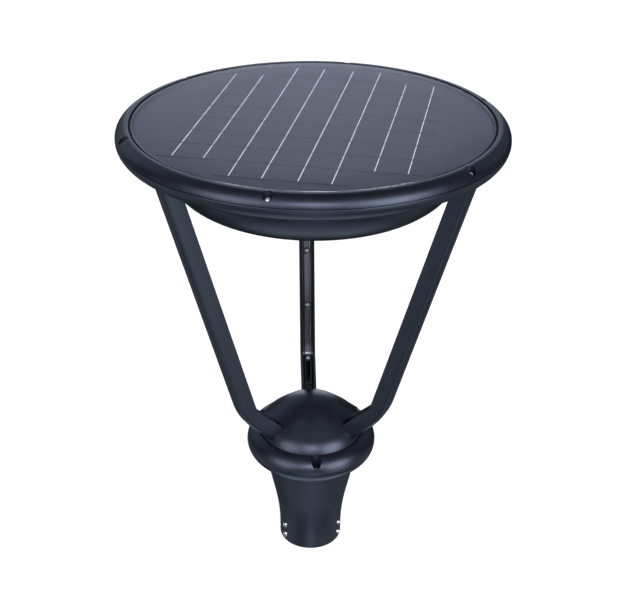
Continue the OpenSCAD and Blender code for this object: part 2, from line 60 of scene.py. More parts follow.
N1 = np.array([math.cos(rad(LEAN)), -math.sin(rad(LEAN))])
D2 = np.array([math.sin(rad(45)), math.cos(rad(45))])
N2 = np.array([math.cos(rad(45)), -math.sin(rad(45))])
LT = BEND_I * math.tan(rad(TURN / 2))
T1 = PC + D1 * LT
T2 = PC - D2 * LT
CB = T1 - N1 * BEND_I
FOOT = np.array([24.0, 24.0 + PC[1] - PC[0]])
LEG2 = float(np.linalg.norm(T2 - FOOT))
DOME_R, DOME_TOP, DOME_BALL, DOME_SLOPE = 77.0, 245.3, 70.0, 39.0
COLLAR_R, COLLAR_C, COLLAR_Z = 22.3, 71.4, 175.5
FLANGE_Z, POCKET_R, POCKET_Z, HUB_TURN, SHOULDER_R = 166.9, 85.3, 180.0, 2.0, 35.0
POCKET_AZ = (270 + HUB_TURN, 30 + HUB_TURN, 150 + HUB_TURN)
BORE_R, BORE_H, SOCKET_R, FLARE_R, FLARE_A, FLARE_Z0 = 38.5, 110.0, 46.2, 330.0, 12.0, 15.0
FLARE_Z1 = FLARE_Z0 + FLARE_R * math.sin(rad(FLARE_A))
FLARE_R1 = SOCKET_R + FLARE_R * (1 - math.cos(rad(FLARE_A)))
WINDOW_R, PORT_R = 96.0, 124.0


# ------------------------------------------------------------------ materials
def rgb(r, g, b):
    return (r, g, b, 1.0)


class Nodes:
    """A small wrapper that adds nodes and links to one material's tree."""

    def __init__(self, name):
        self.m = bpy.data.materials.new(name)
        self.m.use_nodes = True
        self.t = self.m.node_tree
        self.t.nodes.clear()
        self.out = self.t.nodes.new("ShaderNodeOutputMaterial")
        self.co = self.t.nodes.new("ShaderNodeTexCoord").outputs["Object"]

    def add(self, kind, **values):
        n = self.t.nodes.new(kind)
        for k, v in values.items():
            if k in n.inputs:
                if hasattr(v, "is_output"):
                    self.t.links.new(v, n.inputs[k])
                else:
                    n.inputs[k].default_value = v
            else:
                setattr(n, k, v)
        return n

    def link(self, a, b):
        self.t.links.new(a, b)

    def noise(self, scale, detail=3.0, rough=0.55, co=None):
        n = self.add("ShaderNodeTexNoise")
        n.inputs["Scale"].default_value = scale
        n.inputs["Detail"].default_value = detail
        n.inputs["Roughness"].default_value = rough
        self.link(co if co is not None else self.co, n.inputs["Vector"])
        return n.outputs["Fac"]

    def ramp(self, fac, lo, hi, a, b):
        n = self.add("ShaderNodeMapRange")
        self.link(fac, n.inputs["Value"])
        n.inputs["From Min"].default_value = lo
        n.inputs["From Max"].default_value = hi
        n.inputs["To Min"].default_value = a
        n.inputs["To Max"].default_value = b
        return n.outputs["Result"]

    def mix(self, fac, a, b):
        n = self.t.nodes.new("ShaderNodeMix")
        n.data_type = "RGBA"
        if hasattr(fac, "is_output"):
            self.link(fac, n.inputs[0])
        else:
            n.inputs[0].default_value = fac
        for s, v in ((n.inputs[6], a), (n.inputs[7], b)):
            if hasattr(v, "is_output"):
                self.link(v, s)
            else:
                s.default_value = v
        return n.outputs[2]

    def math(self, op, a, b=0.0):
        n = self.t.nodes.new("ShaderNodeMath")
        n.operation = op
        for s, v in ((n.inputs[0], a), (n.inputs[1], b)):
            if hasattr(v, "is_output"):
                self.link(v, s)
            else:
                s.default_value = v
        return n.outputs[0]

    def bump(self, height, strength, distance, normal=None):
        n = self.t.nodes.new("ShaderNodeBump")
        n.inputs["Strength"].default_value = strength
        n.inputs["Distance"].default_value = distance
        self.link(height, n.inputs["Height"])
        if normal is not None:
            self.link(normal, n.inputs["Normal"])
        return n.outputs["Normal"]

    def surface(self, **values):
        p = self.t.nodes.new("ShaderNodeBsdfPrincipled")
        for k, v in values.items():
            k = k.replace("_", " ")
            if hasattr(v, "is_output"):
                self.link(v, p.inputs[k])
            else:
                p.inputs[k].default_value = v
        self.link(p.outputs[0], self.out.inputs["Surface"])
        return p


def powder_coat(name, dark, light, rough=0.44, tint=(0.78, 0.86, 1.0), spec=0.5, grain=850, axis_shade_spec=None):
    """Satin powder coat: a fine orange-peel skin, slight clouding and a few dust specks."""
    k = Nodes(name)
    cloud = k.noise(9, 4)
    grain_f = k.noise(grain, 2)
    col = k.mix(k.ramp(cloud, 0.35, 0.65, 0, 1), rgb(*dark), rgb(*light))
    speck = k.ramp(k.noise(420, 1), 0.74, 0.80, 0, 0.35)
    col = k.mix(speck, col, rgb(light[0] * 2.6, light[1] * 2.5, light[2] * 2.3))
    r = k.ramp(k.noise(60, 3), 0.3, 0.7, rough - 0.035, rough + 0.045)
    n = k.bump(grain_f, 0.34, 0.00018)
    n = k.bump(k.noise(140, 2), 0.10, 0.0006, n)
    p = k.surface(Base_Color=col, Roughness=r, Normal=n, IOR=1.5)
    p.inputs["Specular IOR Level"].default_value = spec
    p.inputs["Specular Tint"].default_value = rgb(*tint)
    if axis_shade_spec is not None:
        # painted shade: faces turned to the lamp's axis get a lower specular level and a higher roughness, so they read
        # darker
        flat = k.t.nodes.new("ShaderNodeVectorMath")
        flat.operation = "MULTIPLY"
        flat.inputs[1].default_value = (1, 1, 0)
        k.link(k.co, flat.inputs[0])
        unit = k.t.nodes.new("ShaderNodeVectorMath")
        unit.operation = "NORMALIZE"
        k.link(flat.outputs[0], unit.inputs[0])
        dot = k.t.nodes.new("ShaderNodeVectorMath")
        dot.operation = "DOT_PRODUCT"
        k.link(unit.outputs[0], dot.inputs[0])
        k.link(k.t.nodes["Texture Coordinate"].outputs["Normal"], dot.inputs[1])
        k.link(k.ramp(dot.outputs["Value"], -0.9, -0.6, axis_shade_spec, spec), p.inputs["Specular IOR Level"])
        k.link(k.ramp(dot.outputs["Value"], -0.9, -0.6, 0.7, rough), p.inputs["Roughness"])
    return k.m


def plastic(name, col, rough, grain=500, bump=0.15, spec=0.5, coat=0.0, col2=None):
    k = Nodes(name)
    c2 = col2 or tuple(min(1.0, x * 1.35 + 0.002) for x in col)
    c = k.mix(k.ramp(k.noise(25, 3), 0.3, 0.7, 0, 1), rgb(*col), rgb(*c2))
    r = k.ramp(k.noise(grain / 6, 3), 0.3, 0.7, rough * 0.88, min(1.0, rough * 1.12))
    n = k.bump(k.noise(grain, 2), bump, 0.0002)
    p = k.surface(Base_Color=c, Roughness=r, Normal=n)
    p.inputs["Specular IOR Level"].default_value = spec
    p.inputs["Coat Weight"].default_value = coat
    p.inputs["Coat Roughness"].default_value = 0.08
    return k.m


def metal(name, col, rough, stretch=(1, 1, 1), scale=220, bump=0.08, wear=0.25):
    """Machined or rolled metal: brushed streaks, small marks and uneven roughness."""
    k = Nodes(name)
    mp = k.t.nodes.new("ShaderNodeMapping")
    k.link(k.co, mp.inputs["Vector"])
    mp.inputs["Scale"].default_value = stretch
    streak = k.noise(scale, 5, 0.65, mp.outputs[0])
    marks = k.ramp(k.noise(1500, 1), 0.66, 0.74, 0, wear)
    c = k.mix(k.ramp(streak, 0.3, 0.7, 0, 1), rgb(*[x * 0.86 for x in col]), rgb(*col))
    c = k.mix(marks, c, rgb(*[x * 0.45 for x in col]))
    r = k.ramp(streak, 0.25, 0.75, rough * 0.75, rough * 1.3)
    n = k.bump(streak, bump, 0.0001)
    k.surface(Base_Color=c, Roughness=r, Normal=n, Metallic=1.0)
    return k.m


def make_materials():
    m = {}
    m["anthracite_cast"] = powder_coat("anthracite_cast", (0.0042, 0.0050, 0.0078), (0.0060, 0.0070, 0.0105), 0.33, (0.62, 0.72, 1.0))
    m["arm_coat"] = powder_coat("arm_coat", (0.0042, 0.0050, 0.0078), (0.0060, 0.0070, 0.0105), 0.33, (0.62, 0.72, 1.0), 0.5, 850, 0.06)
    m["black_rubber"] = plastic("black_rubber", (0.004, 0.004, 0.005), 0.72, 900, 0.3, 0.25)
    m["gloss_cover"] = metal("gloss_cover", (0.062, 0.063, 0.075), 0.07, (1, 1, 0.12), 320, 0.015, 0.1)
    m["stainless"] = metal("stainless", (0.72, 0.73, 0.76), 0.2, scale=900)
    m["bright_screw"] = metal("bright_screw", (0.96, 0.97, 0.98), 0.42, scale=900)
    m["dull_screw"] = metal("dull_screw", (0.16, 0.165, 0.18), 0.36, scale=900)
    m["black_screw"] = metal("black_screw", (0.045, 0.047, 0.055), 0.34, scale=900)
    m["raw_aluminium"] = metal("raw_aluminium", (0.72, 0.73, 0.74), 0.34, (1, 14, 1), 60)
    m["cell_wrap"] = plastic("cell_wrap", (0.02, 0.07, 0.22), 0.3, 400, 0.05)
    m["cap_rubber"] = plastic("cap_rubber", (0.012, 0.012, 0.014), 0.5, 1200, 0.35)
    m["black_plastic"] = plastic("black_plastic", (0.012, 0.012, 0.014), 0.5, 1200, 0.35)
    m["green_board"] = plastic("green_board", (0.01, 0.09, 0.035), 0.38, 900, 0.1)
    m["lead_black"] = plastic("lead_black", (0.012, 0.012, 0.012), 0.45, 700, 0.1)
    m["lead_red"] = plastic("lead_red", (0.35, 0.012, 0.012), 0.45, 700, 0.1)
    m["lead_white"] = plastic("lead_white", (0.62, 0.62, 0.6), 0.45, 700, 0.1)
    m["white_board"] = plastic("white_board", (0.72, 0.72, 0.7), 0.4, 900, 0.08)
    m["led_phosphor"] = plastic("led_phosphor", (0.72, 0.52, 0.08), 0.35, 1500, 0.1)
    m["switch_metal"] = metal("switch_metal", (0.6, 0.61, 0.63), 0.25, scale=700)

    # back sheet: black laminate with a faint cross-hatched embossing
    k = Nodes("black_sheet")
    v = k.t.nodes.new("ShaderNodeTexVoronoi")
    v.inputs["Scale"].default_value = 520
    k.link(k.co, v.inputs["Vector"])
    # the sheet's own near-black colour, set a little lighter than the cells' so that the shade in the gaps between
    # cells reads weaker: that lift is painted light
    col = k.mix(k.ramp(k.noise(18, 3), 0.3, 0.7, 0, 1), rgb(0.0145, 0.019, 0.031), rgb(0.0175, 0.0228, 0.0365))
    k.surface(Base_Color=col, Roughness=k.ramp(k.noise(90, 2), 0.3, 0.7, 0.38, 0.42), Normal=k.bump(v.outputs["Distance"], 0.02, 0.00002))
    m["black_sheet"] = k.m

    # monocrystalline cell: blue-black nitride over silicon, with hair-fine silver fingers across the ribbons' direction
    k = Nodes("mono_cells")
    mp = k.t.nodes.new("ShaderNodeMapping")
    mp.inputs["Rotation"].default_value = (0, 0, rad(-CELL_DIR))
    k.link(k.co, mp.inputs["Vector"])
    w = k.t.nodes.new("ShaderNodeTexWave")
    w.wave_type, w.bands_direction, w.wave_profile = "BANDS", "X", "SIN"
    w.inputs["Scale"].default_value = 210
    w.inputs["Distortion"].default_value = 0
    k.link(mp.outputs[0], w.inputs["Vector"])
    finger = k.ramp(w.outputs["Fac"], 0.93, 0.985, 0, 0.003)
    base = k.mix(k.ramp(k.noise(14, 4), 0.35, 0.65, 0, 1), rgb(0.010, 0.013, 0.022), rgb(0.014, 0.018, 0.029))
    col = k.mix(finger, base, rgb(0.30, 0.31, 0.34))
    k.surface(Base_Color=col, Roughness=0.40, Metallic=0.0, Normal=k.bump(k.noise(300, 2), 0.01, 0.00002))
    m["mono_cells"] = k.m

    # tinned copper ribbon, slightly hammered; its brightness is partly painted light: an emission glow of strength 0.6
    # on top of the metal
    k = Nodes("silver_ribbon")
    n1 = k.noise(700, 3)
    col = k.mix(k.ramp(n1, 0.3, 0.7, 0, 1), rgb(0.90, 0.90, 0.92), rgb(0.97, 0.97, 0.98))
    p = k.surface(Base_Color=col, Roughness=k.ramp(n1, 0.3, 0.7, 0.42, 0.6), Metallic=0.35, Emission_Color=rgb(0.95, 0.97, 1.0), Emission_Strength=0.6, Normal=k.bump(n1, 0.25, 0.0001))
    m["silver_ribbon"] = k.m

    # solar glass: low-iron sheet with a satin, finely stippled face. What lies under it shows through, a little dimmed
    k = Nodes("cover_glass")
    n = k.bump(k.noise(60, 2), 0.01, 0.00003)
    fres = k.t.nodes.new("ShaderNodeFresnel")
    fres.inputs["IOR"].default_value = 1.52
    k.link(n, fres.inputs["Normal"])
    glo = k.t.nodes.new("ShaderNodeBsdfGlossy")
    glo.inputs["Color"].default_value = rgb(0.83, 0.835, 0.895)
    sep = k.t.nodes.new("ShaderNodeSeparateXYZ")
    k.link(k.co, sep.inputs[0])
    dist = k.math("SQRT", k.math("ADD", k.math("MULTIPLY", sep.outputs[0], sep.outputs[0]), k.math("MULTIPLY", sep.outputs[1], sep.outputs[1])))
    edge = k.ramp(dist, 0.2279, 0.2283, 1.0, 0.35)
    k.link(k.math("MULTIPLY", k.ramp(k.noise(45, 3), 0.3, 0.7, 0.44, 0.47), edge), glo.inputs["Roughness"])
    k.link(n, glo.inputs["Normal"])
    tra = k.t.nodes.new("ShaderNodeBsdfTransparent")
    tra.inputs["Color"].default_value = rgb(0.90, 0.91, 0.93)
    mx = k.t.nodes.new("ShaderNodeMixShader")
    geo = k.t.nodes.new("ShaderNodeNewGeometry")
    front = k.math("SUBTRACT", 1.0, geo.outputs["Backfacing"])
    # painted highlight: from 228.2 mm out to the glass's edge the reflection's share is raised to 3.2 times what
    # Fresnel gives, drawing a bright line round the edge
    rim_painted_glint = k.math("MULTIPLY", fres.outputs[0], k.ramp(dist, 0.2279, 0.2282, 1.0, 3.2))
    k.link(k.math("MULTIPLY", rim_painted_glint, front), mx.inputs[0])
    k.link(tra.outputs[0], mx.inputs[1])
    k.link(glo.outputs[0], mx.inputs[2])
    k.link(mx.outputs[0], k.out.inputs["Surface"])
    m["cover_glass"] = k.m

    # lens: opal polycarbonate with fine moulded prisms in rings
    k = Nodes("lens")
    sep = k.t.nodes.new("ShaderNodeSeparateXYZ")
    k.link(k.co, sep.inputs[0])
    r2 = k.math("SQRT", k.math("ADD", k.math("MULTIPLY", sep.outputs[0], sep.outputs[0]), k.math("MULTIPLY", sep.outputs[1], sep.outputs[1])))
    saw = k.math("FRACT", k.math("MULTIPLY", r2, 400.0))
    tri = k.math("ABSOLUTE", k.math("SUBTRACT", saw, 0.5))
    col = k.mix(k.ramp(k.noise(40, 2), 0.3, 0.7, 0, 1), rgb(0.80, 0.82, 0.84), rgb(0.88, 0.89, 0.90))
    p = k.surface(Base_Color=col, Roughness=0.22, Normal=k.bump(tri, 0.25, 0.0004))
    p.inputs["Transmission Weight"].default_value = 0.55
    p.inputs["Subsurface Weight"].default_value = 0.0
    m["lens"] = k.m
    return m


MAT = make_materials()


# ------------------------------------------------------------------ mesh helpers
def arc(cx, cz, r, a0, a1, n):
    return [(cx + r * math.cos(rad(a0 + (a1 - a0) * i / n)), cz + r * math.sin(rad(a0 + (a1 - a0) * i / n))) for i in range(n + 1)]


def rounded(pts, seg=5):
    """A closed outline from corners (x, y, radius), each corner rounded by its radius."""
    out, n = [], len(pts)
    for i, (x, y, r) in enumerate(pts):
        p = np.array((x, y), float)
        if r <= 0:
            out.append((x, y))
            continue
        a = np.array(pts[i - 1][:2], float) - p
        b = np.array(pts[(i + 1) % n][:2], float) - p
        la, lb = np.linalg.norm(a), np.linalg.norm(b)
        a, b = a / la, b / lb
        ang = math.acos(max(-1, min(1, float(a @ b))))
        if ang > 3.1:
            out.append((x, y))
            continue
        t = min(r / math.tan(ang / 2), la * 0.49, lb * 0.49)
        r = t * math.tan(ang / 2)
        c = p + (a + b) / np.linalg.norm(a + b) * r / math.sin(ang / 2)
        s, e = p + a * t, p + b * t
        a0, a1 = math.atan2(*(s - c)[::-1]), math.atan2(*(e - c)[::-1])
        da = (a1 - a0 + math.pi) % (2 * math.pi) - math.pi
        for k in range(seg + 1):
            q = a0 + da * k / seg
            out.append((c[0] + r * math.cos(q), c[1] + r * math.sin(q)))
    return out


def ring_radius(entry, th):
    """entry is (r, z) for a circle, (apothem, z, sides) for a polygon, (apothem, z, sides, rmax) for one turned down to rmax."""
    if len(entry) == 2:
        return entry[0]
    a = 2 * math.pi / entry[2]
    r = entry[0] / math.cos(((th + a / 2) % a) - a / 2)
    return min(r, entry[3]) if len(entry) > 3 else r


def turned(profile, n=192):
    """Vertices and faces of a closed profile turned round Z."""
    pts = []
    for p in profile:
        if not pts or abs(p[0] - pts[-1][0]) + abs(p[1] - pts[-1][1]) > 1e-5 or len(p) != len(pts[-1]):
            pts.append(p)
    if abs(pts[0][0] - pts[-1][0]) + abs(pts[0][1] - pts[-1][1]) < 1e-5 and len(pts[0]) == len(pts[-1]):
        pts.pop()
    verts, rings = [], []
    for p in pts:
        if p[0] < 1e-6:
            rings.append([len(verts)])
            verts.append((0.0, 0.0, p[1]))
        else:
            rings.append(list(range(len(verts), len(verts) + n)))
            for j in range(n):
                th = 2 * math.pi * j / n
                r = ring_radius(p, th)
                verts.append((r * math.cos(th), r * math.sin(th), p[1]))
    faces = []
    for i in range(len(rings)):
        a, b = rings[i], rings[(i + 1) % len(rings)]
        if len(a) == 1 and len(b) == 1:
            continue
        for j in range(n):
            j2 = (j + 1) % n
            if len(a) == 1:
                faces.append((a[0], b[j], b[j2]))
            elif len(b) == 1:
                faces.append((a[j], b[0], a[j2]))
            else:
                faces.append((a[j], b[j], b[j2], a[j2]))
    return verts, faces


def moved(vf, m):
    v, f = vf
    return [tuple(m @ Vector(p)) for p in v], f


def joined(parts):
    verts, faces = [], []
    for v, f in parts:
        o = len(verts)
        verts += list(v)
        faces += [tuple(i + o for i in q) for q in f]
    return verts, faces


def sweep(rings, closed_section=True):
    """Skin over a list of rings of equal length, with a cap at each end."""
    n = len(rings[0])
    verts = [tuple(p) for r in rings for p in r]
    faces = []
    for i in range(len(rings) - 1):
        for j in range(n):
            j2 = (j + 1) % n
            faces.append((i * n + j, i * n + j2, (i + 1) * n + j2, (i + 1) * n + j))
    faces.append(tuple(range(n - 1, -1, -1)))
    faces.append(tuple((len(rings) - 1) * n + j for j in range(n)))
    return verts, faces


def clean(me, angle):
    bm = bmesh.new()
    bm.from_mesh(me)
    bmesh.ops.remove_doubles(bm, verts=bm.verts, dist=2e-7)
    bmesh.ops.dissolve_degenerate(bm, edges=bm.edges, dist=2e-7)
    bmesh.ops.recalc_face_normals(bm, faces=bm.faces)
    bm.to_mesh(me)
    bm.free()
    me.polygons.foreach_set("use_smooth", [True] * len(me.polygons))
    me.set_sharp_from_angle(angle=rad(angle))
    me.update()


def raw(name, vf):
    me = bpy.data.meshes.new(name)
    me.from_pydata([(x * MM, y * MM, z * MM) for x, y, z in vf[0]], [], vf[1])
    o = bpy.data.objects.new(name, me)
    bpy.context.scene.collection.objects.link(o)
    clean(me, 35)
    return o


def piece(name, vf, mat, replaces=(), cutters=None, angle=35, body=BODY, bevel=0.0):
    """One visible piece: its mesh in mm, cut where asked, with its material, riding on its body."""
    o = raw(name, vf)
    if cutters:
        c = raw(name + "_cut", joined(cutters))
        md = o.modifiers.new("cut", "BOOLEAN")
        md.operation, md.solver, md.object = "DIFFERENCE", "EXACT", c
        dg = bpy.context.evaluated_depsgraph_get()
        me = bpy.data.meshes.new_from_object(o.evaluated_get(dg))
        o.modifiers.clear()
        old = o.data
        o.data = me
        bpy.data.meshes.remove(old)
        bpy.data.objects.remove(c)
        clean(o.data, angle)
    else:
        o.data.set_sharp_from_angle(angle=rad(angle))
    o.data.materials.clear()
    o.data.materials.append(MAT[mat])
    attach(o, body)
    if replaces:
        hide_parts(*replaces)
    return o


def at(az, r=0.0, z=0.0):
    return Matrix.Rotation(rad(az), 4, "Z") @ Matrix.Translation((r, 0, z))


def leg1_at(az, along):
    """Frame on the upper leg: X runs from its open side to its back, Z up along it. along is mm above T1."""
    p = T1 + D1 * along
    return at(az) @ Matrix.Translation((p[0], 0, p[1])) @ Matrix.Rotation(rad(LEAN), 4, "Y")


def leg2_at(az, along):
    p = FOOT + D2 * along
    return at(az) @ Matrix.Translation((p[0], 0, p[1])) @ Matrix.Rotation(rad(45), 4, "Y")


def cover_frames(az):
    out = []
    for h in COVER_H:
        along = (h - T1[1]) / D1[1]
        out.append(leg1_at(az, along))
    out.append(leg2_at(az, LEG2 + COVER_LOW))
    return out


def tube(r, z0, z1, n=64):
    return turned([(0, z0), (r, z0), (r, z1), (0, z1)], n)


def prism(pts, z0, z1):
    n = len(pts)
    v = [(x, y, z0) for x, y in pts] + [(x, y, z1) for x, y in pts]
    f = [tuple(range(n - 1, -1, -1)), tuple(range(n, 2 * n))]
    f += [(i, (i + 1) % n, n + (i + 1) % n, n + i) for i in range(n)]
    return v, f


X_AXIS = Matrix.Rotation(rad(90), 4, "Y")      # turns +Z into +X
FLIP = Matrix.Rotation(rad(180), 4, "X")       # turns +Z into -Z


def button_head(r, h, hexa, depth, shank_r, shank_l, n=48, crown=None):
    """A button-head screw, head up: z 0 under the head. Crowned head with a hexagon socket and a chamfered point."""
    c = crown if crown is not None else h * 0.55
    prof = [(0, h - depth - hexa * 0.45), (hexa, h - depth, 6), (hexa, h - 0.25, 6), (hexa + 0.25, h, 6)]
    k = 7
    for i in range(k + 1):
        q = i / k * 90
        prof.append((hexa + 0.7 + (r - hexa - 0.7) * math.sin(rad(q)), h - c + c * math.cos(rad(q))))
    prof += [(r, 0.25), (r - 0.25, 0), (shank_r, 0), (shank_r, -shank_l + 0.6), (shank_r - 0.6, -shank_l), (0, -shank_l)]
    return turned(prof, n)


def cap_head(r, h, hexa, depth, shank_r, shank_l, n=48):
    prof = [(0, h - depth - hexa * 0.4), (hexa, h - depth, 6), (hexa, h - 0.3, 6), (hexa + 0.3, h, 6), (r - 0.5, h), (r - 0.15, h - 0.15), (r, h - 0.5), (r, 0.2), (r - 0.2, 0),
            (shank_r, 0), (shank_r, -shank_l + 0.6), (shank_r - 0.6, -shank_l), (0, -shank_l)]
    return turned(prof, n)


def hex_nut(apothem, h, bore, n=96):
    rc = apothem * 1.03
    return turned([(bore, 0.4), (bore + 0.4, 0), (apothem * 0.97, 0), (apothem, 0.55, 6, rc), (apothem, h * 0.5, 6), (apothem, h - 0.55, 6, rc), (apothem * 0.97, h), (bore + 0.4, h), (bore, h - 0.4)], n)


# ------------------------------------------------------------------ solar panel
piece("solar_glass_sheet", turned([(0, 664.3), (60, 664.3), (120, 664.3), (180, 664.3)] + rounded([(GLASS_R, 664.3, 0.5), (GLASS_R, GLASS_TOP, 1.5), (200, GLASS_TOP, 0), (200, 664.3, 0)], 5)[:-2]
      + [(180, GLASS_TOP), (120, GLASS_TOP), (60, GLASS_TOP), (0, GLASS_TOP)], 360), "cover_glass", ["solar_glass"])

def trimmed(pts, m):
    """A cell's outline with what lies outside the trimming circle drawn back onto it."""
    out = []
    for i, a in enumerate(pts):
        b = pts[(i + 1) % len(pts)]
        steps = max(1, int(math.dist(a, b) // 3))
        out += [(a[0] + (b[0] - a[0]) * q / steps, a[1] + (b[1] - a[1]) * q / steps) for q in range(steps)]
    res = []
    for x, y in out:
        w = m @ Vector((x, y, 0))
        r = math.hypot(w.x, w.y)
        if r > CELL_TRIM:
            w = m.inverted() @ Vector((w.x * CELL_TRIM / r, w.y * CELL_TRIM / r, w.z))
            x, y = w.x, w.y
        res.append((x, y))
    return res


cells, ribbons = [], []
for c in (-1.5, -0.5, 0.5, 1.5):
    n_c = 7 if abs(c) > 1 else 9
    for kk in range(n_c):
        m = Matrix.Translation((0, CELL_SHIFT, 0)) @ Matrix.Rotation(rad(CELL_DIR), 4, "Z") @ Matrix.Translation(((kk - (n_c - 1) / 2) * ROW_PITCH, c * COL_PITCH, CELL_Z))
        outline = [(-22, -37), (-20, -39), (20, -39), (22, -37), (22, 37), (20, 39), (-20, 39), (-22, 37)]
        if any(math.hypot(*(m @ Vector((x, y, 0)))[:2]) > CELL_TRIM for x, y in outline):
            outline = trimmed(outline, m)
        cells.append(moved(prism(outline, 0, 0.5), m))
        for s in (-1, 1):
            y = s * RIB_OFF
            sec = [(-0.46, 0.55), (-0.43, 0.68), (-0.3, 0.78), (0.3, 0.78), (0.43, 0.68), (0.46, 0.55)]
            rings = [[tuple(m @ Vector((x, y + a * q, 0.55 + (b - 0.55) * q))) for a, b in sec] for x, q in ((-20.7, 0.6), (-20.2, 1), (20.2, 1), (20.7, 0.6))]
            ribbons.append(sweep(rings))
piece("solar_cell_tiles", joined(cells), "mono_cells", ["solar_cells"])
piece("cell_ribbon_strips", joined(ribbons), "silver_ribbon", ["cell_ribbons"], angle=50)
piece("panel_gasket_ring", turned(rounded([(220.5, 660.1, 0.3), (232.2, 660.1, 0.3), (232.2, 666.6, 0.4), (231.4, 666.9, 0.3), (230.0, 666.3, 0.4), (229.6, 664.2, 0.2), (226.6, 664.2, 0.1), (226.6, 661.9, 0.1), (220.5, 661.9, 0.3)], 4), 300),
      "black_rubber", ["panel_gasket"])

# ------------------------------------------------------------------ bezel
a_top = math.degrees(math.asin((BEZEL_TOP - ROLL_Z) / ROLL_R))
a_low = math.degrees(math.asin((SPLIT_Z + 0.4 - ROLL_Z) / ROLL_R))
outer = arc(ROLL_C, ROLL_Z, ROLL_R, a_top, a_low + 1.2, 34)
lip = outer[-1]
bez = [(232.4, 659.5)] + rounded([(232.4, 659.5, 0), (232.4, BEZEL_TOP, 0.7), (236.5, BEZEL_TOP, 0), (236.5, 660, 0)], 5)[1:-2] + [(237.3, BEZEL_TOP - 0.01), (237.8, BEZEL_TOP - 0.06)] \
    + outer[1:] + [(lip[0] - 0.2, SPLIT_Z + 0.44), (lip[0] - 0.7, SPLIT_Z + 0.3), (219.5, SPLIT_Z + 0.4), (219.5, 659.5)]
cut = []
for kk in range(6):
    m = at(NOTCH_A + 60 * kk, NOTCH_R)
    cut.append(moved(tube(6.3, NOTCH_Z, 690, 72), m))
    cut.append(moved(tube(2.3, 640, NOTCH_Z + 2, 32), m))
piece("bezel", turned(bez, 384), "anthracite_cast", ["bezel_ring"], cut, 32)
piece("bezel_screw_washers", joined([moved(turned([(2.05, 0.0), (5.7, 0.0), (5.8, 0.03), (5.8, 0.07), (5.7, 0.09), (2.05, 0.09)], 48), at(NOTCH_A + 60 * kk, NOTCH_R, NOTCH_Z + 0.005)) for kk in range(6)]), "black_rubber", (), None, 40)
piece("bezel_pocket_screws", joined([moved(button_head(3.6, 4.3, 1.5, 1.9, 1.95, 13.4), at(NOTCH_A + 60 * kk, NOTCH_R, NOTCH_Z + 0.1)) for kk in range(6)]), "bright_screw", ["bezel_screws"])

# ------------------------------------------------------------------ housing
a_up = math.degrees(math.asin((SPLIT_Z - 0.4 - ROLL_Z) / ROLL_R))
a_web = 180 + math.degrees(math.asin((ROLL_Z - 637.4) / ROLL_R))
hous = [(96.4, 568.4), (110, 568.4), (125, 568.4)] + arc(BOWL_R - BOWL_ARC, BOWL_Z + BOWL_ARC, BOWL_ARC, -90, 0, 40)
hous += [(BOWL_R, 632), (BOWL_R, 635.4)] + arc(BOWL_R + 2, 635.4, 2, 180, 90, 5) + [(210, 637.4), (222.5, 637.4)]
hous += arc(ROLL_C, ROLL_Z, ROLL_R, a_web - 360 + 2.5, a_up - 1.2, 52)
lip = hous[-1]
hous += [(lip[0] - 0.2, SPLIT_Z - 0.44), (lip[0] - 0.7, SPLIT_Z - 0.3), (246.6, 653.8)] + arc(ROLL_C + 2, ROLL_Z, 12.2, -8, -100, 16) + [(232, 642), (232, 653.8), (218, 653.8), (218, 641), (191, 641), (190.9, 627)]
hous += arc(BOWL_R - BOWL_ARC, BOWL_Z + BOWL_ARC, BOWL_ARC - 3.5, -2, -90, 24) + [(96.4, 572.2), (96, 571.8), (96, 568.8)]
cut = [moved(tube(2.05, 560, 580, 32), at(30 + 60 * kk, 108)) for kk in range(6)]
cut += [moved(tube(6.1, 560, 580, 48), at(270, PORT_R)), moved(tube(4.1, 560, 580, 48), at(150, PORT_R))]
cut += [moved(tube(2.55, 620, 645, 32), at(a, x)) for a in ARM_AZ for x in (204, 214)]
piece("housing", turned(hous, 384), "anthracite_cast", ["lamp_housing"], cut, 32)
piece("rim_seal_ring", turned(rounded([(222, 653.85, 0.2), (226, 653.85, 0.2), (226, 654.55, 0.2), (222, 654.55, 0.2)], 3), 240), "black_rubber", ["rim_seal"])


# ------------------------------------------------------------------ arms
def arm_point(s, v):
    """Point in the arm's plane at share s of the bend, v mm from the open side: the back follows the arc, the open side the sharp corner."""
    ang = rad(-LEAN - TURN * s)
    p1 = CB + BEND_R * np.array([math.cos(ang), math.sin(ang)])
    p0 = T1 + (PC - T1) * (2 * s) if s <= 0.5 else PC + (T2 - PC) * (2 * s - 1)
    return p0 + (p1 - p0) * (v / ARM_D)


def arm_rings(section, top, low, steps=28, flat_top=None):
    """Rings of a section (v, w) from `top` mm above T1 down to `low` mm below T2."""
    rings = []
    ups = [top * (1 - k / 6) for k in range(6)]
    for u in ups:
        ring = []
        for v, w in section:
            p = T1 + D1 * u + N1 * v
            if flat_top is not None and u == top:
                p = p + D1 * ((flat_top - p[1]) / D1[1])
            ring.append((p[0], w, p[1]))
        rings.append(ring)
    for k in range(steps + 1):
        rings.append([(float(arm_point(k / steps, v)[0]), w, float(arm_point(k / steps, v)[1])) for v, w in section])
    for k in (1, 2, 3):
        rings.append([(float((T2 - D2 * low * k / 3 + N2 * v)[0]), w, float((T2 - D2 * low * k / 3 + N2 * v)[1])) for v, w in section])
    return rings


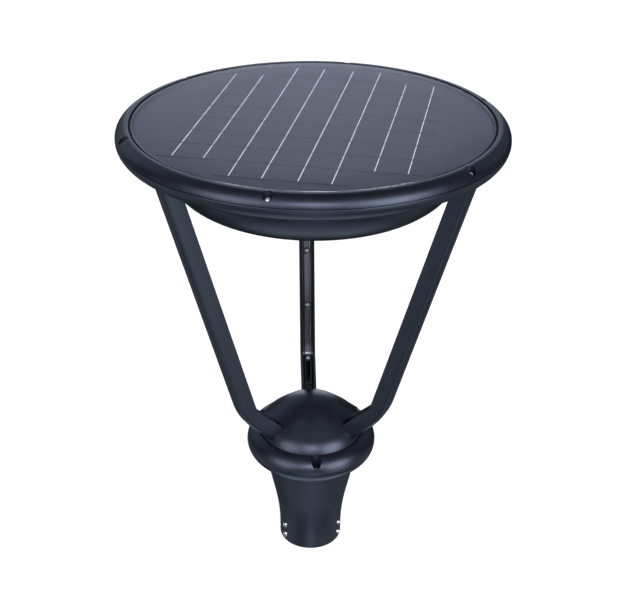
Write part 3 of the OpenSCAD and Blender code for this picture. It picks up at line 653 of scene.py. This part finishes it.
H, C = ARM_W / 2, CHAN_W / 2
section = rounded([(0, C, 0.5), (0, H, 0.9), (ARM_D, H, ARM_ROUND), (ARM_D, -H, ARM_ROUND), (0, -H, 0.9), (0, -C, 0.5), (FLOOR_V, -C, 1.2), (FLOOR_V, C, 1.2)], 8)
top1 = (ARM_TOP - T1[1]) / D1[1]
arm_mesh = sweep(arm_rings(section, top1, LEG2, 32, ARM_TOP))
head = [(0.5, -C - 0.2), (FLOOR_V + 0.4, -C - 0.2), (FLOOR_V + 0.4, C + 0.2), (0.5, C + 0.2)]
head_rings = []
for zz in (ARM_TOP - 8, ARM_TOP - 0.02):
    ring = []
    for v, w in head:
        p = T1 + N1 * v
        p = p + D1 * ((zz - p[1]) / D1[1])
        ring.append((p[0], w, p[1]))
    head_rings.append(ring)
head_mesh = sweep(head_rings)
for a, nm in zip(ARM_AZ, ("rear", "left", "right")):
    cut = [moved(tube(2.7, 600, 650, 32), at(a, x)) for x in (204, 214)]
    cut += [moved(tube(2.7, 10, 40, 32), leg2_at(a, s) @ X_AXIS) for s in (6, 18)]
    o = raw("headblock", moved(head_mesh, at(a)))
    arm_o = raw("armtmp", moved(arm_mesh, at(a)))
    md = arm_o.modifiers.new("u", "BOOLEAN")
    md.operation, md.solver, md.object = "UNION", "EXACT", o
    me = bpy.data.meshes.new_from_object(arm_o.evaluated_get(bpy.context.evaluated_depsgraph_get()))
    vf = ([(v.co.x / MM, v.co.y / MM, v.co.z / MM) for v in me.vertices], [tuple(p.vertices) for p in me.polygons])
    bpy.data.objects.remove(o)
    bpy.data.objects.remove(arm_o)
    bosses = [moved(turned([(1.6, 6.9), (3.6, 6.9), (4.0, 7.3), (4.0, 20.95), (1.6, 20.95)], 40), fr @ X_AXIS) for fr in cover_frames(a)]
    arm = piece("arm_" + nm + "_casting", vf, "arm_coat", ["arm_" + nm], cut, 28)
    post = piece("arm_" + nm + "_posts", joined(bosses), "anthracite_cast", (), None, 35)

# cover strips in the channels: a flanged base, a crowned face and a round pocket cut for each screw
cs = [(6.8, 7.5), (5.6, 7.5), (5.25, 7.2), (5.1, 6.35)] + [(3.7 + 1.45 * abs(q / 6.2) ** 5, q) for q in np.linspace(6.2, -6.2, 25)] + [(5.1, -6.35), (5.25, -7.2), (5.6, -7.5), (6.8, -7.5)]
cs = [(float(v), float(w)) for v, w in cs]
cover_mesh = sweep(arm_rings(cs, 349.0, 23.5, 16))
for a, nm in zip(ARM_AZ, ("rear", "left", "right")):
    cut = []
    for fr in cover_frames(a):
        cut.append(moved(turned([(0, -2), (5.6, -2), (5.6, 5.2), (1.7, 5.2), (1.7, 12), (0, 12)], 56), fr @ X_AXIS))
    o = piece("arm_cover_" + nm + "_strip", moved(cover_mesh, at(a)), "gloss_cover", ["arm_cover_" + nm], cut, 40)

scr = []
for a in ARM_AZ:
    for fr in cover_frames(a):
        scr.append(moved(button_head(3.3, 2.3, 1.2, 1.2, 1.5, 8.6, 40), fr @ Matrix.Translation((5.1, 0, 0)) @ Matrix.Rotation(rad(-90), 4, "Y")))
wash = [moved(turned([(1.7, 0.0), (5.2, 0.0), (5.3, 0.1), (5.3, 0.28), (5.1, 0.36), (1.7, 0.36)], 48), fr @ Matrix.Translation((5.19, 0, 0)) @ Matrix.Rotation(rad(-90), 4, "Y")) for a in ARM_AZ for fr in cover_frames(a)]
piece("arm_cover_screw_washers", joined(wash), "black_rubber", (), None, 40)
piece("arm_cover_screw_set", joined(scr), "dull_screw", ["arm_cover_screws"])
piece("arm_head_bolt_set", joined([moved(cap_head(4.2, 5, 2.3, 2.6, 2.45, 18.2), at(a, x, 627.8) @ FLIP) for a in ARM_AZ for x in (204, 214)]), "stainless", ["arm_head_bolts"])
piece("arm_foot_bolt_set", joined([moved(cap_head(4.2, 5, 2.3, 2.4, 2.45, 12.9), leg2_at(a, s) @ Matrix.Translation((FLOOR_V - 0.1, 0, 0)) @ Matrix.Rotation(rad(-90), 4, "Y")) for a in ARM_AZ for s in (6, 18)]),
      "stainless", ["arm_foot_bolts"])

# ------------------------------------------------------------------ hub dome
dome_cz = DOME_TOP - DOME_BALL
cr0 = DOME_BALL * math.sin(rad(DOME_SLOPE))
cz0 = dome_cz + DOME_BALL * math.cos(rad(DOME_SLOPE))
corner_z = cz0 - (DOME_R - cr0) * math.tan(rad(DOME_SLOPE))


def dome_line(k):
    b = DOME_BALL - k
    tip = arc(0, dome_cz, b, 90, 90 - DOME_SLOPE, 30)
    r0, z0 = tip[-1]
    cz_ = z0 - (DOME_R - k - r0) * math.tan(rad(DOME_SLOPE))
    R = SHOULDER_R - k
    t = R * math.tan(rad((90 - DOME_SLOPE) / 2))
    pc_ = (DOME_R - k - R, cz_ - t)
    return [(max(0.0, x) if i else 0.0, z) for i, (x, z) in enumerate(tip)] + arc(pc_[0], pc_[1], R, 90 - DOME_SLOPE, 0, 20)


outer = dome_line(0)
inner = dome_line(3.2)[::-1]
dome = outer + [(DOME_R, 178), (DOME_R, 167.6), (DOME_R - 0.4, 167.2), (DOME_R - 3.2, 167.2), (DOME_R - 3.2, 178)] + inner
cut = []
for a in ARM_AZ:
    m = leg2_at(a, 25)
    q = prism([(-0.6, -H - 0.6), (ARM_D + 0.6, -H - 0.6), (ARM_D + 0.6, H + 0.6), (-0.6, H + 0.6)], 0, 45)
    sec = rounded([(-0.6, -H - 0.6, 0.8), (ARM_D + 0.6, -H - 0.6, ARM_ROUND), (ARM_D + 0.6, H + 0.6, ARM_ROUND), (-0.6, H + 0.6, 0.8)], 8)
    cut.append(moved(prism(sec, 0, 45), m))
    cut.append(moved(tube(2.1, 60, 90, 24), at(a, 0, 173) @ X_AXIS))
piece("dome_shell", turned(dome, 288), "anthracite_cast", ["hub_dome"], cut, 32)
piece("dome_screw_set", joined([moved(button_head(3.6, 2.6, 1.3, 1.5, 1.95, 13), at(a, DOME_R + 0.1, 173) @ X_AXIS) for a in ARM_AZ]), "stainless", ["dome_screws"])

# ------------------------------------------------------------------ collar
r_in = DOME_R + 0.3
z_in = COLLAR_Z + math.sqrt(COLLAR_R ** 2 - (r_in - COLLAR_C) ** 2)
z_lo = FLANGE_Z + 0.3
a_in = math.degrees(math.atan2(z_in - COLLAR_Z, r_in - COLLAR_C))
a_lo = math.degrees(math.asin((z_lo - COLLAR_Z) / COLLAR_R))
coll = arc(COLLAR_C, COLLAR_Z, COLLAR_R, a_in - 1.6, a_lo + 1.6, 44)
coll += [(coll[-1][0] - 0.3, z_lo + 0.12), (coll[-1][0] - 0.8, z_lo), (r_in + 0.2, z_lo), (r_in, z_lo + 0.2), (r_in, z_in - 0.7), (r_in + 0.15, z_in - 0.25)]
cut = []
for a in POCKET_AZ:
    cut.append(moved(tube(7.1, POCKET_Z, 230, 72), at(a, POCKET_R)))
    cut.append(moved(tube(2.7, 150, POCKET_Z + 2, 32), at(a, POCKET_R)))
for a in ARM_AZ:
    cut.append(moved(tube(5, DOME_R - 1, DOME_R + 5, 40), at(a, 0, 173) @ X_AXIS))
piece("collar", turned(coll, 320), "anthracite_cast", ["hub_collar"], cut, 32)
piece("collar_screw_set", joined([moved(button_head(4.6, 4.3, 1.9, 2.2, 2.45, 20), at(a, POCKET_R, POCKET_Z + 0.1)) for a in POCKET_AZ]), "black_screw", ["collar_screws"])

# ------------------------------------------------------------------ pole socket
neck = [(SOCKET_R - 1.6, 0), (SOCKET_R - 0.6, 0.35), (SOCKET_R - 0.15, 1.1), (SOCKET_R, 2.2), (SOCKET_R, 8)] + arc(SOCKET_R + FLARE_R, FLARE_Z0, FLARE_R, 180, 180 - FLARE_A, 26)
tanf = math.tan(rad(FLARE_A))
# where the cone meets the roll's underside, then a small blend
lo_, hi_ = 140.0, 160.0
for _ in range(50):
    z_ = (lo_ + hi_) / 2
    r_ = FLARE_R1 + (z_ - FLARE_Z1) * tanf
    dz = COLLAR_R ** 2 - (r_ - COLLAR_C) ** 2
    under = COLLAR_Z - math.sqrt(dz)
    if z_ < under:
        lo_ = z_
    else:
        hi_ = z_
cz_, cr_ = z_, r_
neck += [(FLARE_R1 + (q - FLARE_Z1) * tanf, q) for q in (100, 120, 138, 149)]
SEAT_Z = 156.0
R_153 = FLARE_R1 + (153 - FLARE_Z1) * tanf
neck += [(R_153 - 0.02, 153.0), (R_153, SEAT_Z - 0.5), (R_153 - 0.4, SEAT_Z), (58, SEAT_Z), (51.4, SEAT_Z), (51, SEAT_Z - 0.4), (46, BORE_H + 6), (20, BORE_H + 6), (20, BORE_H), (BORE_R, BORE_H), (BORE_R, 60), (BORE_R, 1.4), (BORE_R + 1.4, 0)]
cut = []
for z in (12, 30):
    for a in ARM_AZ:
        cut.append(moved(tube(4.03, BORE_R - 3, 60, 48), at(a + HUB_TURN, 0, z) @ X_AXIS))
for a in POCKET_AZ:
    cut.append(moved(tube(2.5, 140, 160, 32), at(a, 59)))
piece("socket_casting", turned(neck, 288), "anthracite_cast", ["pole_socket"], cut, 32)

# hub base: the flange under the collar, with a saddle for each arm's foot
a_n = math.degrees(math.atan2(-math.sqrt(COLLAR_R ** 2 - (cr_ + 1.6 - COLLAR_C) ** 2), cr_ + 1.6 - COLLAR_C))
a_f = math.degrees(math.asin((FLANGE_Z - COLLAR_Z) / COLLAR_R))
base = [(R_153 + 0.16, SEAT_Z + 0.1), (R_153 + 0.16, cz_ + 0.1), (cr_ + 0.9, cz_ - 0.35)] + arc(COLLAR_C, COLLAR_Z, COLLAR_R, a_n, a_f - 1.6, 24)
lip = base[-1]
base += [(lip[0] - 0.25, FLANGE_Z - 0.12), (lip[0] - 0.7, FLANGE_Z), (50.4, FLANGE_Z), (50, FLANGE_Z - 0.4), (50, SEAT_Z + 0.5), (50.4, SEAT_Z + 0.1)]
cut = []
for a in POCKET_AZ:
    cut.append(moved(tube(2.5, 150, 180, 32), at(a, POCKET_R)))
    cut.append(moved(tube(2.7, 150, 180, 32), at(a, 59)))
    cut.append(moved(tube(4.6, 161, 171, 40), at(a, 59)))
piece("hub_base_flange", turned(base, 288), "anthracite_cast", ["hub_base"], cut, 32)
saddle = [(51, FLANGE_Z - 5), (72.2, FLANGE_Z - 5), (72.2, 176), (62, 183), (58.5, 187.6), (41.5, 170.6), (41.5, 168)]
sad = []
for a in ARM_AZ:
    v, f = prism(saddle, -12.5, 12.5)
    sad.append(([tuple(at(a) @ Vector((x, y, z))) for x, z, y in v], f))
piece("hub_base_saddles", joined(sad), "anthracite_cast", (), None, 35)
piece("neck_bolt_set", joined([moved(cap_head(4.2, 5, 2.3, 2.6, 2.45, 19.1), at(a, 59, 161.1)) for a in POCKET_AZ]), "stainless", ["neck_bolts"])

# grub screws with turned threads, a chamfered crown and a hexagon socket
th = []
z = 1.0
prof = [(0, 0), (2.8, 0), (2.8, 0.55), (3.35, 0.9)]
while z < 8.4:
    prof += [(4.0, z + 0.25), (4.0, z + 0.45), (3.5, z + 0.95)]
    z += 1.25
prof += [(3.98, 9.0), (3.98, 9.3), (3.5, 9.8), (2.75, 9.8), (2.3, 9.5, 6), (2.3, 5.2, 6), (0, 4.6)]
piece("set_screw_set", joined([moved(turned(prof, 54), at(a + HUB_TURN, BORE_R + 0.05, zz) @ X_AXIS) for a in ARM_AZ for zz in (12, 30)]), "stainless", ["set_screws"])

# ------------------------------------------------------------------ underside
piece("lens_disc", turned([(0, 564.2), (30, 564.2), (60, 564.2), (95.8, 564.2), (96.4, 563.9), (96.8, 563.7), (102.6, 563.7), (103, 564.1), (103, 566.6), (102.6, 567), (60, 567), (30, 567), (0, 567)], 240), "lens", ["lens_window"])
piece("lens_gasket_ring", turned(rounded([(97, 567.1, 0.3), (103, 567.1, 0.3), (103, 568.3, 0.3), (97, 568.3, 0.3)], 3), 200), "black_rubber", ["lens_gasket"])
cut = [moved(tube(2.1, 550, 580, 32), at(30 + 60 * kk, 108)) for kk in range(6)]
piece("lens_retaining_ring", turned(rounded([(97.5, 563.6, 0.2), (97.5, 560.7, 1.1), (112, 560.7, 1.6), (112, 568.3, 0.2), (103.3, 568.3, 0.2), (103.3, 563.6, 0.2)], 5), 240), "anthracite_cast", ["lens_ring"], cut, 35)
piece("lens_ring_screw_set", joined([moved(button_head(3.6, 2.2, 1.5, 1.2, 1.95, 14), at(30 + 60 * kk, 108, 560.6) @ FLIP) for kk in range(6)]), "stainless", ["lens_ring_screws"])
vent = [(0, 561.4)] + [(7.0 * math.sin(rad(q)), 563.4 - 2.0 * math.cos(rad(q))) for q in (20, 40, 60, 80)] + [(7.0, 564.6), (6.2, 565.0), (6.2, 565.4), (7.6, 565.6), (8, 566), (8, 568.0), (7.7, 568.3), (4, 568.3), (4, 582), (2.2, 582), (2, 581.6), (2, 570), (0, 570)]
slots = []
for kk in range(8):
    slots.append(moved(prism([(-0.55, -0.55), (3, -0.55), (3, 0.55), (-0.55, 0.55)], 562.6, 564.4), at(150, PORT_R) @ at(45 * kk, 6.0)))
piece("vent_plug", moved(turned(vent, 72), at(150, PORT_R)), "black_plastic", ["vent_body"], slots, 35)
piece("vent_hex_nut", moved(hex_nut(6.9, 4, 4.05), at(150, PORT_R, 572.5)), "black_plastic", ["vent_nut"])
bb = rounded([(4.56, 566, 0.4), (9.2, 566, 1.0), (9.2, 568.3, 0.2), (6, 568.3, 0.1), (6, 583, 0.4), (0, 583, 0)], 4)
bb = bb[:-1] + [(0, 583), (0, 580.8), (5.2, 580.8), (5.2, 573.3), (4.56, 573.3)]
piece("button_housing", moved(turned(bb, 96), at(270, PORT_R)), "switch_metal", ["button_body"])
piece("button_hex_nut", moved(hex_nut(7.95, 4, 6.05), at(270, PORT_R, 572.5)), "stainless", ["button_nut"])
cap = [(0, 563.35), (2.2, 563.25), (3.2, 563.0), (3.7, 563.0), (4.25, 563.25), (4.5, 563.8), (4.5, 573.45), (5, 573.6), (5, 575.1), (4.7, 575.4), (0, 575.4)]
piece("button_push_cap", moved(turned(cap, 72), at(270, PORT_R)), "cap_rubber", ["button_cap"], body="button")

# ------------------------------------------------------------------ CAD nodes whose own shape stays
KEEP = {
    "cell_backsheet": "black_sheet", "chassis_plate": "raw_aluminium", "chassis_screws": "stainless", "led_board": "white_board", "led_chips": "led_phosphor",
    "battery_cells": "cell_wrap", "battery_tray": "black_plastic", "battery_straps": "raw_aluminium", "controller_case": "black_plastic", "controller_board": "green_board",
    "junction_box": "black_plastic", "panel_lead": "lead_black", "battery_lead": "lead_red", "led_lead": "lead_white",
}
for n, mname in KEEP.items():
    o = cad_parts[n]
    o.data.materials.clear()
    o.data.materials.append(MAT[mname])
for n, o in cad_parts.items():
    if n not in KEEP and not o.hide_render:
        o.data.materials.clear()
        o.data.materials.append(MAT["anthracite_cast"])

# ------------------------------------------------------------------ floor, light, camera
scene = bpy.context.scene
scene.view_settings.view_transform = "Standard"
scene.view_settings.look = "None"

bpy.ops.mesh.primitive_plane_add(size=40, location=(0, 0, -0.0004))
floor = bpy.context.object
floor.name = "floor"
k = Nodes("floor_pale")
dif = k.t.nodes.new("ShaderNodeBsdfDiffuse")
dif.inputs["Color"].default_value = rgb(0.35, 0.35, 0.35)
emi = k.t.nodes.new("ShaderNodeEmission")
emi.inputs["Color"].default_value = rgb(1, 1, 1)
emi.inputs["Strength"].default_value = 0.82
add = k.t.nodes.new("ShaderNodeAddShader")
k.link(dif.outputs[0], add.inputs[0])
k.link(emi.outputs[0], add.inputs[1])
k.link(add.outputs[0], k.out.inputs["Surface"])
floor.data.materials.append(k.m)
floor.visible_glossy = False
floor.visible_diffuse = False

# The studio: a few broad soft lights painted on the sky round the object. Each is (azimuth, elevation, full half-width, fade half-width, colour, strength).
# Azimuth 270 is the side that the camera stands on.
LOBES = [
    ("front_box", 267, 30, 5, 20, (1.0, 1.0, 1.03), 6.9),
    ("front_core", 267, 30, 3, 9, (1.0, 1.0, 1.03), 9.0),
    ("front_low_strip", 267, 15, 5, 20, (1.0, 1.0, 1.0), 1.35),
    ("front_high", 267, 60, 5, 20, (1.0, 1.0, 1.0), 0.16),
    ("front_floor", 267, -32, 5, 22, (0.92, 1.0, 1.06), 1.85),
    ("left_box", 222, 18, 6, 26, (1.03, 1.0, 0.96), 6.1),
    ("left_high", 222, 45, 6, 26, (0.95, 1.0, 1.05), 0.75),
    ("left_floor", 222, -12, 6, 28, (0.9, 1.0, 1.1), 0.8),
    ("right_box", 312, 18, 6, 26, (1.0, 1.0, 1.0), 9.6),
    ("right_high", 312, 45, 6, 26, (0.9, 1.0, 1.1), 0.55),
    ("right_floor", 312, -12, 6, 28, (1.0, 1.0, 1.05), 2.6),
    ("side_floor_left", 185, -30, 8, 36, (0.9, 1.0, 1.15), 0.5),
    ("side_floor_right", 355, -30, 8, 36, (0.9, 1.0, 1.15), 0.33),
    ("back_floor_left", 133, -25, 8, 34, (0.84, 1.0, 1.26), 0.16),
    ("back_floor_right", 35, -38, 8, 34, (0.84, 1.0, 1.26), 0.12),
    ("back_left", 133, 25, 8, 34, (0.80, 0.92, 1.2), 0.5),
    ("back_right", 41, 25, 8, 34, (0.80, 0.92, 1.2), 0.25),
    ("back_high", 87, 45, 6, 26, (0.86, 0.95, 1.12), 0.34),
    ("back_low", 87, 3, 5, 22, (0.84, 0.94, 1.14), 2.15),
    ("under", 267, -86, 10, 36, (0.84, 1.0, 1.16), 1.05),
]
# A low strip of light at the horizon: (name, azimuth, full and fade half-widths sideways, elevation, full and fade half-widths up and down, colour, strength).
STRIPS = [
    ("upper_strip", 267, 14, 36, 3.6, 0.9, 1.8, (0.95, 0.98, 1.08), 0.8),
    ("lower_strip", 267, 14, 36, -0.9, 0.4, 1.1, (0.95, 0.98, 1.08), 1.8),
]
AMBIENT = (0.0, 0.0, 0.0)


def build_world(lobes, ambient, strips=()):
    w = bpy.data.worlds.new("studio")
    scene.world = w
    w.use_nodes = True
    t = w.node_tree
    t.nodes.clear()
    out = t.nodes.new("ShaderNodeOutputWorld")
    bg = t.nodes.new("ShaderNodeBackground")
    t.links.new(bg.outputs[0], out.inputs[0])
    co = t.nodes.new("ShaderNodeTexCoord").outputs["Generated"]
    total = None
    for name, az, el, full, fade, col, strength in lobes:
        d = t.nodes.new("ShaderNodeVectorMath")
        d.operation = "DOT_PRODUCT"
        d.inputs[1].default_value = (math.cos(rad(az)) * math.cos(rad(el)), math.sin(rad(az)) * math.cos(rad(el)), math.sin(rad(el)))
        t.links.new(co, d.inputs[0])
        mr = t.nodes.new("ShaderNodeMapRange")
        mr.interpolation_type = "SMOOTHSTEP"
        mr.inputs["From Min"].default_value = math.cos(rad(fade))
        mr.inputs["From Max"].default_value = math.cos(rad(full))
        mr.inputs["To Min"].default_value = 0.0
        mr.inputs["To Max"].default_value = strength
        t.links.new(d.outputs["Value"], mr.inputs["Value"])
        sc = t.nodes.new("ShaderNodeVectorMath")
        sc.operation = "SCALE"
        sc.inputs[0].default_value = col
        t.links.new(mr.outputs["Result"], sc.inputs["Scale"])
        if total is None:
            ad = t.nodes.new("ShaderNodeVectorMath")
            ad.operation = "ADD"
            ad.inputs[0].default_value = ambient
            t.links.new(sc.outputs[0], ad.inputs[1])
        else:
            ad = t.nodes.new("ShaderNodeVectorMath")
            ad.operation = "ADD"
            t.links.new(total, ad.inputs[0])
            t.links.new(sc.outputs[0], ad.inputs[1])
        total = ad.outputs[0]
    for name, az, full, fade, el, thick, soft, col, strength in strips:
        d = t.nodes.new("ShaderNodeVectorMath")
        d.operation = "DOT_PRODUCT"
        d.inputs[1].default_value = (math.cos(rad(az)), math.sin(rad(az)), 0.0)
        t.links.new(co, d.inputs[0])
        side = t.nodes.new("ShaderNodeMapRange")
        side.interpolation_type = "SMOOTHSTEP"
        side.inputs["From Min"].default_value = math.cos(rad(fade))
        side.inputs["From Max"].default_value = math.cos(rad(full))
        t.links.new(d.outputs["Value"], side.inputs["Value"])
        sep = t.nodes.new("ShaderNodeSeparateXYZ")
        t.links.new(co, sep.inputs[0])
        off = t.nodes.new("ShaderNodeMath")
        off.operation = "SUBTRACT"
        t.links.new(sep.outputs[2], off.inputs[0])
        off.inputs[1].default_value = math.sin(rad(el))
        mag = t.nodes.new("ShaderNodeMath")
        mag.operation = "ABSOLUTE"
        t.links.new(off.outputs[0], mag.inputs[0])
        up = t.nodes.new("ShaderNodeMapRange")
        up.interpolation_type = "SMOOTHSTEP"
        up.inputs["From Min"].default_value = math.sin(rad(soft))
        up.inputs["From Max"].default_value = math.sin(rad(thick))
        up.inputs["To Max"].default_value = strength
        t.links.new(mag.outputs[0], up.inputs["Value"])
        mul = t.nodes.new("ShaderNodeMath")
        mul.operation = "MULTIPLY"
        t.links.new(side.outputs["Result"], mul.inputs[0])
        t.links.new(up.outputs["Result"], mul.inputs[1])
        sc = t.nodes.new("ShaderNodeVectorMath")
        sc.operation = "SCALE"
        sc.inputs[0].default_value = col
        t.links.new(mul.outputs[0], sc.inputs["Scale"])
        ad = t.nodes.new("ShaderNodeVectorMath")
        ad.operation = "ADD"
        t.links.new(total, ad.inputs[0])
        t.links.new(sc.outputs[0], ad.inputs[1])
        total = ad.outputs[0]
    t.links.new(total, bg.inputs["Color"])
    bg.inputs["Strength"].default_value = 1.0
    # seen directly, the studio is a plain pale backdrop
    pale = t.nodes.new("ShaderNodeBackground")
    pale.inputs["Color"].default_value = rgb(1, 1, 1)
    pale.inputs["Strength"].default_value = 0.96
    seen = t.nodes.new("ShaderNodeLightPath")
    pick = t.nodes.new("ShaderNodeMixShader")
    t.links.new(seen.outputs["Is Camera Ray"], pick.inputs[0])
    t.links.new(bg.outputs[0], pick.inputs[1])
    t.links.new(pale.outputs[0], pick.inputs[2])
    t.links.new(pick.outputs[0], out.inputs[0])


build_world(LOBES, AMBIENT, STRIPS)

cam_data = bpy.data.cameras.new("camera")
cam = bpy.data.objects.new("camera", cam_data)
scene.collection.objects.link(cam)
cam_data.sensor_width = 36.0
cam_data.sensor_fit = "HORIZONTAL"
cam_data.lens = 1141.47 / 626 * 36
cam_data.clip_start, cam_data.clip_end = 0.01, 100
yaw, pitch, roll = 0.001, 0.509, 0.008
fwd = Vector((math.sin(yaw) * math.cos(pitch), math.cos(yaw) * math.cos(pitch), -math.sin(pitch)))
right = Vector((math.cos(yaw), -math.sin(yaw), 0))
up = right.cross(fwd)
r2 = math.cos(roll) * right + math.sin(roll) * up
u2 = -math.sin(roll) * right + math.cos(roll) * up
spin = Matrix.Rotation(rad(-3.28), 3, "Z")
x_, y_, z_ = spin @ r2, spin @ u2, spin @ (-fwd)
loc = spin @ Vector((0, -1.3741, 1.1685))
cam.matrix_world = Matrix(((x_[0], y_[0], z_[0], loc[0]), (x_[1], y_[1], z_[1], loc[1]), (x_[2], y_[2], z_[2], loc[2]), (0, 0, 0, 1)))
scene.camera = cam
